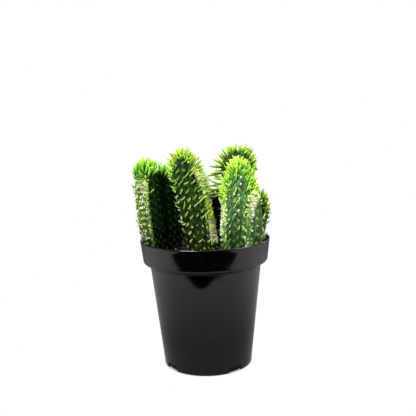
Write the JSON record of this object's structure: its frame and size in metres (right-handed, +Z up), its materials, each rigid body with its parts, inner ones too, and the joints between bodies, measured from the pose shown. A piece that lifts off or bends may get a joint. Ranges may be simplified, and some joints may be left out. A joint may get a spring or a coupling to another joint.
{
  "type": "potted crested eve's needle cactus",
  "caption": "Crested cactus with flattened, fan-shaped green stems and short awl leaves, standing in potting mix in a glossy black round nursery pot.",
  "frame": {"origin": "on the pot's axis, in the plane that the pot stands on", "axes": "+Z up along the pot's axis, -Y towards the pictured front, +X to the right of the picture"},
  "size_m": [0.1086, 0.105, 0.1796],
  "materials": {
    "pot": "glossy near-black moulded plastic, lightly scuffed",
    "soil": "dark gritty peat mix with pale grains",
    "stem": "waxy green skin with cream areoles and bright leaves"
  },
  "bodies": {
    "root": {"pot": "pot", "soil": "soil", "fan_left": "stem", "fan_middle": "stem", "fan_back_right": "stem", "fan_front_right": "stem", "fan_far_right": "stem", "fan_back": "stem", "fan_front_low": "stem"}
  },
  "joints": []
}
